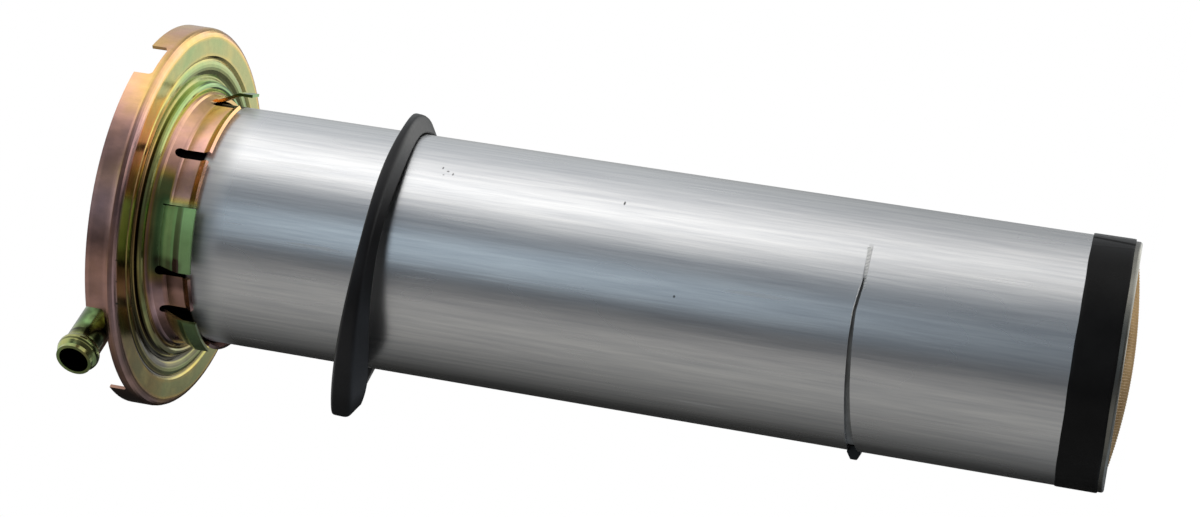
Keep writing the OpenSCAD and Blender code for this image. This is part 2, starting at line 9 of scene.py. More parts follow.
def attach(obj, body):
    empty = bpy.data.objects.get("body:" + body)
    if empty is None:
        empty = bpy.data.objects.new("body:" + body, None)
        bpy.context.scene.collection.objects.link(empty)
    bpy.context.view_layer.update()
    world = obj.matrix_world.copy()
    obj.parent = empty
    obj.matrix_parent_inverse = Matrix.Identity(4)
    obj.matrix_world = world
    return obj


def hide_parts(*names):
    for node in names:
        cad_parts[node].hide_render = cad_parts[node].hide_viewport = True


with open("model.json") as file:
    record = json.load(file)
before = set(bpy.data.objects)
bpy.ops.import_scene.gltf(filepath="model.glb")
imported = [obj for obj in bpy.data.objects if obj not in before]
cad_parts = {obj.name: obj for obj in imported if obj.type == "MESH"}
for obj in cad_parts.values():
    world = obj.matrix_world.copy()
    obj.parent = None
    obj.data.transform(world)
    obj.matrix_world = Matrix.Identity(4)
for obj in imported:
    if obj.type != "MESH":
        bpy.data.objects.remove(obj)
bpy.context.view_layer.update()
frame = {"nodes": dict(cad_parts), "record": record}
cadNodes = frame["nodes"]
mm = 0.001
print("stage: frame loaded")


# Shader helpers
def feed(tree, value, socket):
    if isinstance(value, bpy.types.NodeSocket):
        tree.links.new(value, socket)
    else:
        socket.default_value = value


def addNode(tree, kind, **settings):
    node = tree.nodes.new(kind)
    for name, value in settings.items():
        setattr(node, name, value)
    return node


def calc(tree, operation, *values, clamp=False):
    node = addNode(tree, "ShaderNodeMath", operation=operation, use_clamp=clamp)
    for value, socket in zip(values, node.inputs):
        feed(tree, value, socket)
    return node.outputs[0]


def fade(tree, value, low, high):
    node = addNode(tree, "ShaderNodeMapRange", interpolation_type="SMOOTHSTEP")
    feed(tree, value, node.inputs["Value"])
    feed(tree, low, node.inputs["From Min"])
    feed(tree, high, node.inputs["From Max"])
    return node.outputs["Result"]


def blendColour(tree, factor, first, second, kind="MIX"):
    node = addNode(tree, "ShaderNodeMix", data_type="RGBA", blend_type=kind)
    feed(tree, factor, node.inputs[0])
    feed(tree, first, node.inputs[6])  # the colour sockets, which share their names with others
    feed(tree, second, node.inputs[7])
    return node.outputs[2]


def colourRamp(tree, factor, stops):
    node = addNode(tree, "ShaderNodeValToRGB")
    ramp = node.color_ramp
    for index, (place, colour) in enumerate(stops):
        element = ramp.elements[index] if index < 2 else ramp.elements.new(place)
        element.position = place
        element.color = (*colour, 1)
    feed(tree, factor, node.inputs["Fac"])
    return node.outputs["Color"]


def noise(tree, coords, scale, detail=3.0, roughness=0.55, seed=0.0):
    placed = addNode(tree, "ShaderNodeMapping")
    feed(tree, coords, placed.inputs["Vector"])
    placed.inputs["Scale"].default_value = scale if isinstance(scale, tuple) else (scale,) * 3
    placed.inputs["Location"].default_value = (seed, seed * 0.7, seed * 1.3)
    node = addNode(tree, "ShaderNodeTexNoise")
    tree.links.new(placed.outputs["Vector"], node.inputs["Vector"])
    node.inputs["Scale"].default_value = 1
    node.inputs["Detail"].default_value = detail
    node.inputs["Roughness"].default_value = roughness
    return node.outputs["Fac"]


def bump(tree, bsdf, height, depth):
    node = addNode(tree, "ShaderNodeBump")
    node.inputs["Strength"].default_value = 1
    node.inputs["Distance"].default_value = depth
    feed(tree, height, node.inputs["Height"])
    tree.links.new(node.outputs["Normal"], bsdf.inputs["Normal"])


def blankMaterial(name):
    material = bpy.data.materials.new(name)
    material.use_nodes = True
    material.node_tree.nodes.clear()
    return material, material.node_tree


def showShader(tree, shader):
    output = addNode(tree, "ShaderNodeOutputMaterial")
    tree.links.new(shader, output.inputs["Surface"])


def newShader(name, metallic, shine=0.5):
    material, tree = blankMaterial(name)
    bsdf = addNode(tree, "ShaderNodeBsdfPrincipled")
    bsdf.inputs["Metallic"].default_value = metallic
    bsdf.inputs["Specular IOR Level"].default_value = shine
    showShader(tree, bsdf.outputs["BSDF"])
    coords = addNode(tree, "ShaderNodeTexCoord").outputs["Object"]
    return material, tree, bsdf, coords


def product(tree, *values):
    result = values[0]
    for value in values[1:]:
        result = calc(tree, "MULTIPLY", result, value)
    return result


def splitCoords(tree, coords):
    node = addNode(tree, "ShaderNodeSeparateXYZ")
    tree.links.new(coords, node.inputs[0])
    x, y, z = node.outputs
    radius = calc(tree, "SQRT", calc(tree, "ADD", product(tree, x, x), product(tree, y, y)))
    return x, y, z, radius


def sideAngle(tree, x, y):
    # degrees round the tube's axis: 0 towards the camera, 90 towards the top of the picture
    turn = calc(tree, "ARCTAN2", x, calc(tree, "MULTIPLY", y, -1.0))
    return calc(tree, "MULTIPLY", turn, 180 / math.pi)


def nearTo(tree, value, centre, reach, soft=0.5):
    # 1 within reach of the centre, down to 0 over the soft part beyond it
    away = calc(tree, "ABSOLUTE", calc(tree, "SUBTRACT", value, centre))
    return fade(tree, away, reach * (1 + soft), reach * (1 - soft))


# Camera and studio
cameraPlan = {
    "place": (0.000316, -0.541075, -0.210121),
    "aim": (0.005488, 0.0, -0.095562),
    "above": (0.987316, -0.041862, 0.153147),
    "lens": 74.852,
    "sensor": 36,
}

studioPlan = {
    "floorZ": -0.25,
    "floorSize": 8.0,
    "floorGlow": 0.85,
    "floorColour": (0.62, 0.62, 0.62, 1),
    "skyRadius": 5.0,
    "ambient": (0.42, 0.43, 0.45, 1),
    # brightness round the tube's axis, in degrees from the camera's side towards the top of the picture
    "sky": [
        (-180, (0.010, 0.010, 0.009)), (-140, (0.020, 0.020, 0.019)), (-104, (0.150, 0.150, 0.146)),
        (-66, (0.330, 0.326, 0.314)), (-42, (0.320, 0.316, 0.308)), (-22, (0.070, 0.074, 0.082)),
        (8, (0.150, 0.170, 0.192)), (32, (0.230, 0.256, 0.284)), (50, (0.980, 0.980, 0.975)),
        (66, (1.420, 1.420, 1.410)), (86, (1.060, 1.060, 1.060)), (112, (0.640, 0.660, 0.680)),
        (150, (0.540, 0.560, 0.570)), (174, (0.300, 0.300, 0.290)),
    ],
    # the same for reflections that lean back towards the tube's far end, as in the flange's face
    "lowSky": [
        (-180, (0.80, 0.80, 0.78)), (-173, (0.10, 0.10, 0.10)), (-150, (0.26, 0.28, 0.31)),
        (-105, (0.48, 0.54, 0.62)), (-70, (0.20, 0.22, 0.24)), (-35, (0.09, 0.09, 0.09)),
        (-12, (0.12, 0.12, 0.12)), (14, (0.08, 0.08, 0.08)), (34, (0.11, 0.11, 0.11)),
        (54, (0.40, 0.40, 0.39)), (74, (0.95, 0.95, 0.94)), (110, (1.30, 1.31, 1.31)),
        (145, (1.60, 1.62, 1.60)), (168, (1.45, 1.45, 1.43)), (180, (0.80, 0.80, 0.78)),
    ],
    "lowFrom": -0.12,
    "lowTo": -0.26,
    # below this tilt the sky is dimmed, growing between these two angles
    "farDim": 0.38,
    "farTilt": 0.21,
    "farAngles": (38.0, 62.0),
    # the tilts between which the bands give way to a plain pale sky
    "highTilts": (0.52, 0.78),
    "highColour": (0.95, 0.95, 0.94, 1),
    # the window's place and reach; its core is the share of the reach that is fully bright
    "windowAngle": 4,
    "windowReach": 23,
    "windowCore": 0.35,
    "windowTilt": 0.24,
    "windowTiltReach": 0.17,
    "windowTiltCore": 0.6,
    "windowColour": (0.36, 0.44, 0.50, 1),
    # how the sky's bands bend along the tube
    "bowCentre": 0.19,
    "bow": 385,
    "bowMost": 16,
    "bowFull": 34.0,
}

lampAim = (0, 0, -0.1)
lampPlan = [
    {"name": "keySoftbox", "place": (1.25, -0.55, 0.35), "size": (1.1, 1.4), "power": 20},
    {"name": "fillSoftbox", "place": (-0.5, -1.3, 0.1), "size": (1.2, 1.2), "power": 6},
    {"name": "rearSoftbox", "place": (0.3, 1.2, 0.5), "size": (1.2, 1.2), "power": 7},
]


def makeCamera(plan):
    place = Vector(plan["place"])
    forward = (Vector(plan["aim"]) - place).normalized()
    right = forward.cross(Vector(plan["above"])).normalized()
    up = right.cross(forward)
    data = bpy.data.cameras.new("photoCamera")
    data.sensor_width = plan["sensor"]
    data.lens = plan["lens"]
    data.clip_start = 0.01
    camera = bpy.data.objects.new("photoCamera", data)
    turn = Matrix((right, up, -forward)).transposed().to_4x4()
    camera.matrix_world = Matrix.Translation(place) @ turn
    bpy.context.scene.collection.objects.link(camera)
    bpy.context.scene.camera = camera


def makeLamps(plan):
    for lamp in plan:
        data = bpy.data.lights.new(lamp["name"], "AREA")
        data.shape = "RECTANGLE"
        data.size, data.size_y = lamp["size"]
        data.energy = lamp["power"]
        light = bpy.data.objects.new(lamp["name"], data)
        place = Vector(lamp["place"])
        turn = (Vector(lampAim) - place).to_track_quat("-Z", "Y").to_matrix().to_4x4()
        light.matrix_world = Matrix.Translation(place) @ turn
        light.visible_camera = False
        light.visible_glossy = False
        bpy.context.scene.collection.objects.link(light)


def makeWorld(plan):
    world = bpy.data.worlds.new("studioWorld")
    bpy.context.scene.world = world
    world.use_nodes = True
    tree = world.node_tree
    tree.nodes.clear()
    path = addNode(tree, "ShaderNodeLightPath")
    seen = calc(tree, "MAXIMUM", path.outputs["Is Camera Ray"], path.outputs["Is Glossy Ray"])
    seen = calc(tree, "MAXIMUM", seen, path.outputs["Is Transmission Ray"])
    background = addNode(tree, "ShaderNodeBackground")
    feed(tree, blendColour(tree, seen, plan["ambient"], (1, 1, 1, 1)), background.inputs["Color"])
    output = addNode(tree, "ShaderNodeOutputWorld")
    tree.links.new(background.outputs[0], output.inputs["Surface"])


def makeFloor(plan):
    half = plan["floorSize"] / 2
    z = plan["floorZ"]
    corners = [(-half, -half, z), (half, -half, z), (half, half, z), (-half, half, z)]
    mesh = bpy.data.meshes.new("studioFloor")
    mesh.from_pydata(corners, [], [(0, 1, 2, 3)])
    floor = bpy.data.objects.new("studioFloor", mesh)
    bpy.context.scene.collection.objects.link(floor)
    material, tree = blankMaterial("studioFloor")
    path = addNode(tree, "ShaderNodeLightPath")
    glow = addNode(tree, "ShaderNodeEmission")
    strength = calc(tree, "MULTIPLY", path.outputs["Is Camera Ray"], plan["floorGlow"])
    feed(tree, strength, glow.inputs["Strength"])
    paint = addNode(tree, "ShaderNodeBsdfDiffuse")
    paint.inputs["Color"].default_value = plan["floorColour"]
    both = addNode(tree, "ShaderNodeAddShader")
    tree.links.new(glow.outputs[0], both.inputs[0])
    tree.links.new(paint.outputs[0], both.inputs[1])
    showShader(tree, both.outputs[0])
    mesh.materials.append(material)
    floor.visible_glossy = False


def ringRamp(tree, degrees, stops):
    # a colour ramp that runs once round the tube's axis, from -180 to 180 degrees
    share = calc(tree, "MULTIPLY_ADD", degrees, 1 / 360, 0.5)
    return colourRamp(tree, share, [(0.5 + place / 360, colour) for place, colour in stops])


def windowMask(tree, value, centre, reach, core):
    away = calc(tree, "ABSOLUTE", calc(tree, "SUBTRACT", value, centre))
    return fade(tree, away, reach, reach * core)


def makeSky(plan):
    # a large surround that only reflections see: soft bright bands, one window and a darker far end
    bpy.ops.mesh.primitive_uv_sphere_add(segments=48, ring_count=24, radius=plan["skyRadius"])
    sky = bpy.context.object
    sky.name = "studioSurround"
    material, tree = blankMaterial("studioSurround")
    coords = addNode(tree, "ShaderNodeTexCoord").outputs["Object"]
    x, y, z, _ = splitCoords(tree, coords)
    tilt = calc(tree, "DIVIDE", z, plan["skyRadius"])
    angle = sideAngle(tree, x, y)
    away = calc(tree, "SUBTRACT", tilt, plan["bowCentre"])
    bow = calc(tree, "MINIMUM", product(tree, away, away, plan["bow"]), plan["bowMost"])
    bow = calc(tree, "MULTIPLY", bow, fade(tree, angle, 0.0, plan["bowFull"]))
    glow = ringRamp(tree, calc(tree, "SUBTRACT", angle, bow), plan["sky"])
    across = windowMask(tree, angle, plan["windowAngle"], plan["windowReach"], plan["windowCore"])
    along = windowMask(tree, tilt, plan["windowTilt"], plan["windowTiltReach"], plan["windowTiltCore"])
    glow = blendColour(tree, product(tree, across, along), glow, plan["windowColour"], "ADD")
    far = fade(tree, tilt, plan["farTilt"], 0.0)
    dim = product(tree, far, fade(tree, angle, *plan["farAngles"]), plan["farDim"])
    glow = blendColour(tree, dim, glow, (0, 0, 0, 1))
    glow = blendColour(tree, fade(tree, tilt, *plan["highTilts"]), glow, plan["highColour"])
    low = ringRamp(tree, angle, plan["lowSky"])
    glow = blendColour(tree, fade(tree, tilt, plan["lowFrom"], plan["lowTo"]), glow, low)
    emission = addNode(tree, "ShaderNodeEmission")
    feed(tree, glow, emission.inputs["Color"])
    showShader(tree, emission.outputs[0])
    sky.data.materials.append(material)
    sky.visible_camera = False
    sky.visible_diffuse = False
    sky.visible_transmission = False
    sky.visible_shadow = False


bpy.context.scene.view_settings.view_transform = "Standard"
makeCamera(cameraPlan)
makeLamps(lampPlan)
makeWorld(studioPlan)
makeFloor(studioPlan)
makeSky(studioPlan)
print("stage: camera and studio")


# Finishes
filmColours = [
    (0.00, (0.24, 0.44, 0.17)), (0.12, (0.34, 0.49, 0.19)), (0.25, (0.50, 0.50, 0.19)),
    (0.38, (0.84, 0.62, 0.17)), (0.50, (0.92, 0.56, 0.24)), (0.62, (0.86, 0.48, 0.38)),
    (0.74, (0.56, 0.34, 0.34)), (0.86, (0.36, 0.30, 0.36)), (1.00, (0.42, 0.62, 0.44)),
]


def placedSum(tree, start, steps, sources):
    # adds each change where its source value runs from low to high
    total = start
    for source, low, high, change in steps:
        total = calc(tree, "MULTIPLY_ADD", fade(tree, sources[source], low, high), change, total)
    return total


def patchSum(tree, start, patches, sources):
    # adds each change inside a soft box of side angle and height
    total = start
    for turn, reach, height, heightReach, change in patches:
        inside = calc(
            tree, "MULTIPLY", nearTo(tree, sources["angle"], turn, reach, 0.25),
            nearTo(tree, sources["height"], height, heightReach, 0.25))
        total = calc(tree, "MULTIPLY_ADD", inside, change, total)
    return total


def markMask(tree, coords, marks):
    # small scratches and specks: a place on the surface, its three half sizes and its strength
    total = 0.0
    for place, size, strength in marks:
        moved = addNode(tree, "ShaderNodeVectorMath", operation="SUBTRACT")
        feed(tree, coords, moved.inputs[0])
        moved.inputs[1].default_value = [value * mm for value in place]
        scaled = addNode(tree, "ShaderNodeVectorMath", operation="DIVIDE")
        tree.links.new(moved.outputs[0], scaled.inputs[0])
        scaled.inputs[1].default_value = [value * mm for value in size]
        length = addNode(tree, "ShaderNodeVectorMath", operation="LENGTH")
        tree.links.new(scaled.outputs[0], length.inputs[0])
        spot = fade(tree, length.outputs["Value"], 1.0, 0.5)
        total = calc(tree, "MULTIPLY_ADD", spot, strength, total)
    return total


def surfaceSources(tree, coords):
    # rise is 1 on the side towards the top of the picture, and -1 on the side towards its foot
    x, y, z, radius = splitCoords(tree, coords)
    return {
        "angle": sideAngle(tree, x, y),
        "rise": calc(tree, "DIVIDE", x, radius),
        "height": calc(tree, "MULTIPLY", z, 1 / mm),
        "radius": calc(tree, "MULTIPLY", radius, 1 / mm),
    }


def drift(tree, coords, scale, detail, seed):
    return calc(tree, "SUBTRACT", noise(tree, coords, scale, detail, seed=seed), 0.5)


def zincShader(name, look):
    # yellow passivate: the film's thickness drifts, and its colour runs through gold, pink and green
    look = {**zincLook, **look}
    seed = look["seed"]
    material, tree, bsdf, coords = newShader(name, 1.0)
    sources = surfaceSources(tree, coords)
    if look["dullPatches"]:
        feed(tree, patchSum(tree, 1.0, look["dullPatches"], sources), bsdf.inputs["Metallic"])
    # the film's colour steps and patches are partly its own zones and partly painted reflection: the
    # cap's pink-gold outer corner stands in for a highlight, and the shifts by side stand in for
    # changing reflections
    film = placedSum(tree, look["film"], look["filmAndSheenSteps"], sources)
    film = patchSum(tree, film, look["filmAndSheenPatches"], sources)
    wide = drift(tree, coords, look["driftScale"], 2.0, seed)
    blotch = drift(tree, coords, look["blotchScale"], 4.0, seed + 3)
    film = calc(tree, "MULTIPLY_ADD", wide, look["drift"], film)
    film = calc(tree, "MULTIPLY_ADD", blotch, look["blotch"], film, clamp=True)
    colour = colourRamp(tree, film, filmColours)
    grain = noise(tree, coords, look["grainScale"], 3.0, seed=seed + 7)
    # painted shade: the base colour darkens by the shade steps, towards the lower side and into
    # recesses, and in soft patches that also hold painted light, clouded by noise; the marks add real
    # specks and scratches
    shadeAndMarks = placedSum(tree, 0.0, look["shadeSteps"], sources)
    shadeAndMarks = patchSum(tree, shadeAndMarks, look["shadeAndGrimePatches"], sources)
    cloud = noise(tree, coords, look["shadeCloudScale"], 3.0, seed=seed + 5)
    shadeAndMarks = product(tree, shadeAndMarks, fade(tree, cloud, *look["shadeCloudRange"]))
    sheltered = fade(tree, sources["rise"], *look["lineShelter"])
    # dark rings of painted shade in the grooves and at the steps, fading out on the upper side
    for centre, reach, strength in look["lines"]:
        line = product(tree, nearTo(tree, sources["radius"], centre, reach), sheltered)
        shadeAndMarks = calc(tree, "MULTIPLY_ADD", line, strength, shadeAndMarks)
    shadeAndMarks = calc(tree, "ADD", shadeAndMarks, markMask(tree, coords, look["marks"]), clamp=True)
    shade = colourRamp(tree, grain, [(0.25, look["grainDark"]), (0.75, (1.0, 1.0, 1.0))])
    colour = blendColour(tree, 1.0, colour, shade, "MULTIPLY")
    feed(tree, blendColour(tree, shadeAndMarks, colour, look["shadeAndMarkColour"]), bsdf.inputs["Base Color"])
    rough = calc(tree, "MULTIPLY_ADD", grain, look["roughSpread"], look["rough"])
    feed(tree, rough, bsdf.inputs["Roughness"])
    bump(tree, bsdf, grain, look["grainDepth"] * mm)
    return material


def aluminiumShader(name, look):
    # brushed along the tube, with a few scratches, specks and scuffs
    material, tree, bsdf, coords = newShader(name, 1.0)
    sources = surfaceSources(tree, coords)
    streak = noise(tree, coords, look["streakScale"], 4.0, 0.6)
    fine = noise(tree, coords, look["fineScale"], 2.0, 0.5, 4)
    haze = noise(tree, coords, look["hazeScale"], 3.0, 0.5, 9)
    height = calc(tree, "MULTIPLY_ADD", fine, look["fineShare"], streak)
    colour = colourRamp(tree, streak, [(0.3, look["dark"]), (0.7, look["light"])])
    scratch = noise(tree, coords, look["scratchScale"], 1.0, 0.4, 15)
    scratch = fade(tree, scratch, *look["scratchRange"])
    # painted shade from the shade steps, such as under the collar, with the dark patches and real
    # specks mixed in
    shadeAndMarks = placedSum(tree, 0.0, look["shadeSteps"], sources)
    shadeAndMarks = patchSum(tree, shadeAndMarks, look["shadeAndGrimePatches"], sources)
    shadeAndMarks = calc(tree, "ADD", shadeAndMarks, markMask(tree, coords, look["specks"]), clamp=True)
    colour = blendColour(tree, shadeAndMarks, colour, look["shadeAndMarkColour"])
    scratch = calc(tree, "MULTIPLY", scratch, look["scratchShare"])
    bright = calc(tree, "ADD", scratch, markMask(tree, coords, look["scuffs"]), clamp=True)
    feed(tree, blendColour(tree, bright, colour, look["bare"]), bsdf.inputs["Base Color"])
    rough = calc(tree, "MULTIPLY_ADD", haze, look["roughSpread"], look["rough"])
    rough = placedSum(tree, rough, look["roughSteps"], sources)
    rough = calc(tree, "MULTIPLY_ADD", bright, look["bareRough"], rough)
    feed(tree, rough, bsdf.inputs["Roughness"])
    bump(tree, bsdf, height, look["depth"] * mm)
    return material


def cloudedShader(name, look):
    # a colour that drifts between dark and light, with a fine grain in roughness and bump
    material, tree, bsdf, coords = newShader(name, look["metallic"], look["shine"])
    cloud = noise(tree, coords, look["cloudScale"], 4.0)
    colour = colourRamp(tree, cloud, [(0.3, look["dark"]), (0.7, look["light"])])
    feed(tree, colour, bsdf.inputs["Base Color"])
    grain = noise(tree, coords, look["grainScale"], *look["grain"])
    rough = calc(tree, "MULTIPLY_ADD", grain, look["roughSpread"], look["rough"])
    feed(tree, rough, bsdf.inputs["Roughness"])
    bump(tree, bsdf, grain, look["depth"] * mm)
    return material


# Steps are (source, from, to, change). Patches are (side angle, reach, height, reach, change).
# Lines are (radius, reach, strength): dark rings of painted shade. Marks are (place, half sizes,
# strength). Lengths are in mm.
zincLook = {
    "filmAndSheenPatches": [],
    "shadeAndGrimePatches": [],
    "dullPatches": [],
    "marks": [],
    "shadeCloudRange": (0.20, 0.55),
    "lineShelter": (0.98, 0.42),
}
capLook = {
    "film": 0.27, "seed": 1, "drift": 0.36, "driftScale": 30, "blotch": 0.20, "blotchScale": 120,
    "filmAndSheenSteps": [
        ("radius", 33.8, 35.2, -0.07), ("radius", 36.0, 36.8, 0.12), ("radius", 37.6, 38.6, -0.08),
        # the outer corner's pink-gold step is a painted highlight
        ("radius", 41.0, 42.6, 0.30), ("height", 1.0, 2.4, 0.06)],
    "filmAndSheenPatches": [
        # the skirt's shift by side is painted reflection colour
        (-30, 60, 3.5, 5, 0.10), (60, 30, 3.5, 5, -0.05), (25, 30, 0.0, 1.2, 0.10),
        (-20, 40, 0.0, 1.2, 0.06)],
    # painted shade: darker towards the lower side; the patches add painted shade and painted light
    "shadeSteps": [("rise", -0.17, -0.87, 0.66)],
    "shadeAndGrimePatches": [(-8, 22, 4.0, 1.6, 0.35), (-122, 40, 1.5, 4.0, -0.42), (-14, 42, -0.6, 1.0, 0.20)],
    "shadeCloudScale": 60,
    "shadeAndMarkColour": (0.040, 0.034, 0.014, 1),
    # dark rings of painted shade in the groove, at the step and beside the seat
    "lines": [(32.9, 0.55, 0.92), (36.85, 0.30, 0.55), (34.3, 0.60, 0.62)],
    "marks": [
        ((23.6, -36.8, 0.2), (0.6, 0.9, 0.5), 0.5), ((12.4, -42.0, 0.3), (1.0, 0.5, 0.5), 0.5),
        ((-11.5, -40.4, 0.0), (0.22, 0.9, 0.4), 0.7), ((-16.0, -38.8, 0.0), (0.22, 0.7, 0.4), 0.6),
        ((-20.7, -36.5, 0.0), (0.25, 0.9, 0.4), 0.7), ((-25.3, -33.5, 0.0), (0.22, 0.6, 0.4), 0.6)],
    "rough": 0.16, "roughSpread": 0.10, "grainScale": (500, 500, 240), "grainDepth": 0.006,
    "grainDark": (0.82, 0.82, 0.80),
}
collarLook = {
    "film": 0.62, "seed": 6, "drift": 0.42, "driftScale": 40, "blotch": 0.22, "blotchScale": 130,
    "filmAndSheenSteps": [
        # the shifts by rise are painted reflection colour for the upper and lower sides
        ("radius", 29.5, 30.0, -0.42), ("height", -7.5, -9.6, -0.02), ("rise", 0.34, 0.88, -0.10),
        ("rise", 0.0, -0.77, 0.10)],
    "filmAndSheenPatches": [
        (-10, 16, -8.0, 5.0, -0.60), (-60, 14, -8.0, 4.0, -0.2), (-6, 24, -3.0, 1.5, -0.45)],
    # painted shade: darker towards the lower side; the patches add painted shade and painted light
    # round the lug and its window
    "shadeSteps": [("rise", 0.42, -0.77, 0.62)],
    "shadeAndGrimePatches": [
        (-10, 15, -8.5, 4.5, -0.31), (-27, 8, -6.0, 3.5, 0.5), (-10, 15, -8.4, 0.8, 0.75),
        (-10, 15, -10.7, 1.4, 0.30), (-34, 11, -6.5, 4.0, -0.22)],
    "dullPatches": [(-10, 15, -8.5, 4.5, -0.65), (-60, 14, -8.0, 4.0, -0.2)],
    "shadeCloudScale": 70,
    "shadeAndMarkColour": (0.040, 0.022, 0.016, 1),
    # dark rings of painted shade in the bead's valley and in the gap at its outer edge
    "lines": [(29.35, 0.30, 0.20), (32.0, 0.2, 0.7)],
    "rough": 0.12, "roughSpread": 0.10, "grainScale": (500, 500, 500), "grainDepth": 0.005,
    "grainDark": (0.84, 0.84, 0.84),
}
pipeLook = {
    "film": 0.10, "seed": 11, "drift": 0.62, "driftScale": 110, "blotch": 0.34, "blotchScale": 200,
    "filmAndSheenSteps": [("radius", 45.0, 49.0, 0.06)],
    # painted shade: darker at lower heights and on the pipe inward of the bead
    "shadeSteps": [("height", 9.5, 4.5, 0.40), ("radius", 49.0, 47.0, 0.75)],
    "shadeCloudScale": 120,
    "shadeAndMarkColour": (0.03, 0.035, 0.012, 1),
    # dark rings of painted shade round the pipe
    "lines": [(46.6, 0.3, 0.6), (50.4, 0.25, 0.6)],
    "rough": 0.11, "roughSpread": 0.10, "grainScale": (700, 700, 700), "grainDepth": 0.004,
    "grainDark": (0.80, 0.80, 0.80),
}
tubeLook = {
    "streakScale": (1000, 1000, 40), "fineScale": (2600, 2600, 60), "hazeScale": (40, 40, 14),
    "fineShare": 0.5, "scratchScale": (700, 700, 30), "scratchRange": (0.74, 0.79), "scratchShare": 0.5,
    "dark": (0.70, 0.71, 0.73), "light": (0.90, 0.90, 0.90), "rough": 0.21, "roughSpread": 0.12,
    "depth": 0.014, "bare": (0.95, 0.95, 0.95, 1), "bareRough": 0.2,
    # painted shade: near black where the tube runs in under the collar's lips; the patches darken a
    # spot below the slit and a thin line level with it
    "shadeSteps": [("height", -10.0, -9.2, 1.0)],
    "shadeAndGrimePatches": [(-91, 6, -157.8, 1.9, 0.96), (29, 9, -156.7, 0.45, 0.45)],
    "roughSteps": [("height", -18.0, -12.0, 0.28)],
    "shadeAndMarkColour": (0.004, 0.004, 0.004, 1),
    "specks": [
        ((19.4, -18.8, -62.0), (0.5, 0.5, 0.22), 0.8), ((18.8, -19.4, -63.4), (0.3, 0.3, 0.4), 0.7),
        ((18.3, -19.8, -64.7), (0.5, 0.5, 0.22), 0.8), ((17.9, -20.2, -62.7), (0.2, 0.2, 0.3), 0.6),
        ((17.7, -20.3, -103.3), (0.7, 0.7, 0.25), 0.9),
        ((-0.2, -27.0, -118.2), (0.35, 0.35, 0.3), 0.8)],
    "scuffs": [
        ((1.1, -27.0, -14.0), (0.12, 0.4, 2.2), 0.7), ((1.9, -26.9, -16.5), (0.10, 0.4, 1.6), 0.6),
        ((0.3, -27.0, -19.0), (0.10, 0.4, 3.0), 0.5)],
}
plainMetal = {
    "metallic": 1.0, "shine": 0.5, "roughSpread": 0.16, "cloudScale": 120, "grainScale": 900,
    "grain": (3.0, 0.55, 5), "depth": 0.004,
}
metalLooks = {
    "rim_metal": {"dark": (0.20, 0.20, 0.18), "light": (0.34, 0.33, 0.29), "rough": 0.20},
    "brass_mesh": {"dark": (0.35, 0.22, 0.10), "light": (0.56, 0.38, 0.19), "rough": 0.26},
    "brass": {"dark": (0.52, 0.36, 0.13), "light": (0.74, 0.55, 0.23), "rough": 0.22},
    "steel": {"dark": (0.42, 0.42, 0.42), "light": (0.62, 0.61, 0.60), "rough": 0.24},
}
moulded = {
    "metallic": 0.0, "shine": 0.4, "cloudScale": 90, "grainScale": 1100, "grain": (5.0, 0.6, 2),
    "depth": 0.008,
}
mouldedLooks = {
    "rubber": {
        "dark": (0.003, 0.003, 0.0035), "light": (0.007, 0.007, 0.008), "rough": 0.30,
        "roughSpread": 0.16, "shine": 0.33},
    "tape": {
        "dark": (0.003, 0.003, 0.003), "light": (0.006, 0.006, 0.006), "rough": 0.14,
        "roughSpread": 0.14, "shine": 0.11},
    "insulator": {
        "dark": (0.018, 0.018, 0.018), "light": (0.035, 0.034, 0.033), "rough": 0.38,
        "roughSpread": 0.2},
    "paper_resin": {
        "dark": (0.17, 0.075, 0.030), "light": (0.27, 0.13, 0.055), "rough": 0.42,
        "roughSpread": 0.2},
    "float_foam": {
        "dark": (0.035, 0.028, 0.022), "light": (0.075, 0.060, 0.048), "rough": 0.6,
        "roughSpread": 0.3},
    "bush_plastic": {
        "dark": (0.62, 0.58, 0.48), "light": (0.74, 0.71, 0.62), "rough": 0.35,
        "roughSpread": 0.1},
}

finishes = {
    "flange_cap": zincShader("capZinc", capLook),
    "neck_collar": zincShader("collarZinc", collarLook),
    "hose_pipe": zincShader("pipeZinc", pipeLook),
    "aluminium_tube": aluminiumShader("brushedAluminium", tubeLook),
}
finishes["pipe_ferrule"] = finishes["hose_pipe"]
for common, looks in ((plainMetal, metalLooks), (moulded, mouldedLooks)):
    for slotName, look in looks.items():
        finishes[slotName] = cloudedShader(slotName, {**common, **look})

slotOf = {row["node"]: row["material_slot"] for row in frame["record"]["subparts"]}
for nodeName, node in cadNodes.items():
    finish = finishes.get(nodeName) or finishes[slotOf[nodeName]]
    node.data.materials.clear()
    node.data.materials.append(finish)
print("stage: finishes")


# Helpers for pieces
def finishPiece(mesh, name, material, body, replaces=None, sharpAngle=35):
    mesh.materials.clear()
    mesh.materials.append(material)
    mesh.shade_smooth()
    mesh.set_sharp_from_angle(angle=math.radians(sharpAngle))
    mesh.name = name
    piece = bpy.data.objects.new(name, mesh)
    bpy.context.scene.collection.objects.link(piece)
    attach(piece, body)
    if replaces:
        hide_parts(replaces)


def meshFrom(vertices, faces):
    mesh = bpy.data.meshes.new("shape")
    mesh.from_pydata(vertices, [], faces)
    work = bmesh.new()
    work.from_mesh(mesh)
    bmesh.ops.recalc_face_normals(work, faces=work.faces)
    work.to_mesh(mesh)
    work.free()
    return mesh


def roundPoint(radius, turn, z):
    # a point round the tube's axis, from sizes in mm
    return Vector((radius * math.cos(turn), radius * math.sin(turn), z)) * mm


